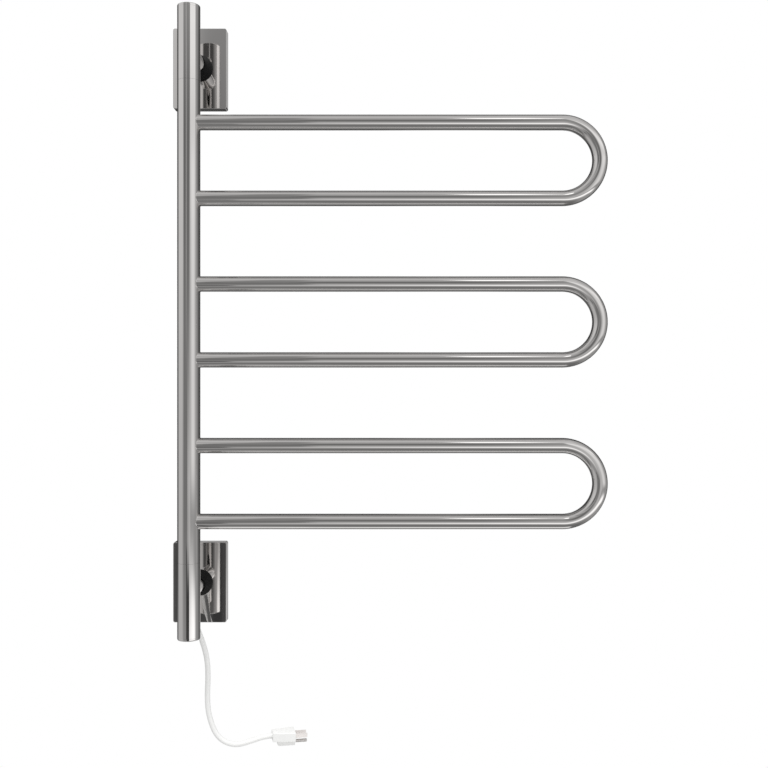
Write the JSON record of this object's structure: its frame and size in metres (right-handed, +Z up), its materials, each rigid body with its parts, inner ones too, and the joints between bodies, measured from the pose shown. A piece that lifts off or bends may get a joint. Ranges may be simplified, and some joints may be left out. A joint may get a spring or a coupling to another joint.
{
  "type": "towel warmer rack",
  "caption": "Wall-hung electric towel warmer rack: chrome post on bracket arms, with bent bar loops that swing about the post, and a short plug-in cord.",
  "frame": {"origin": "centre of the lower wall plate's back face, on the wall", "axes": "+Y into the wall, +X along the bars at rest, +Z up"},
  "size_m": [0.6479, 0.1125, 1.0909],
  "materials": {
    "chrome": "polished chrome plate",
    "zinc_steel": "zinc plated steel",
    "black_collar": "black moulded plastic, matt",
    "nylon": "natural nylon",
    "cable_jacket": "silicone jacket",
    "wire_jacket": "sleeved wires",
    "earth_jacket": "green wire jacket",
    "tinned_brass": "tinned brass",
    "white_cord": "white flexible jacket",
    "white_plug": "white moulded plastic",
    "nickel": "nickel plated"
  },
  "bodies": {
    "wall_mount": {"lower_wall_plate": "zinc_steel", "upper_wall_plate": "zinc_steel", "lower_arm_stub": "zinc_steel", "upper_arm_stub": "zinc_steel", "lower_stub_screw": "zinc_steel", "upper_stub_screw": "zinc_steel", "lower_grub_screw": "zinc_steel", "upper_grub_screw": "zinc_steel", "lower_pivot": "zinc_steel", "upper_pivot": "zinc_steel", "lower_plate_cover": "chrome", "upper_plate_cover": "chrome", "lower_arm": "chrome", "upper_arm": "chrome", "lower_post_end": "chrome", "upper_post_end": "chrome", "lower_end_cap": "chrome", "upper_end_cap": "chrome", "lower_collar": "black_collar", "upper_collar": "black_collar", "lower_thrust_washer": "nylon", "upper_thrust_washer": "nylon", "supply_wires": "wire_jacket", "earth_lug": "tinned_brass", "earth_screw": "zinc_steel", "earth_wire": "earth_jacket", "strain_relief": "white_cord", "power_cord": "white_cord", "plug_body": "white_plug", "plug_blades": "nickel", "plug_earth_pin": "nickel"},
    "rack": {"swing_post": "chrome", "lower_bar_loop": "chrome", "middle_bar_loop": "chrome", "upper_bar_loop": "chrome", "lower_heating_cable": "cable_jacket", "middle_heating_cable": "cable_jacket", "upper_heating_cable": "cable_jacket", "wiring_harness": "wire_jacket", "splice_sleeve": "wire_jacket", "thermal_cutout": "wire_jacket", "lower_bush": "nylon", "upper_bush": "nylon"}
  },
  "joints": [
    {"name": "rack_swing", "type": "hinge", "parent": "wall_mount", "child": "rack", "pos_m": [0, -0.096, 0.3946], "axis": [0, 0, -1], "range_deg": [0, 180]}
  ]
}
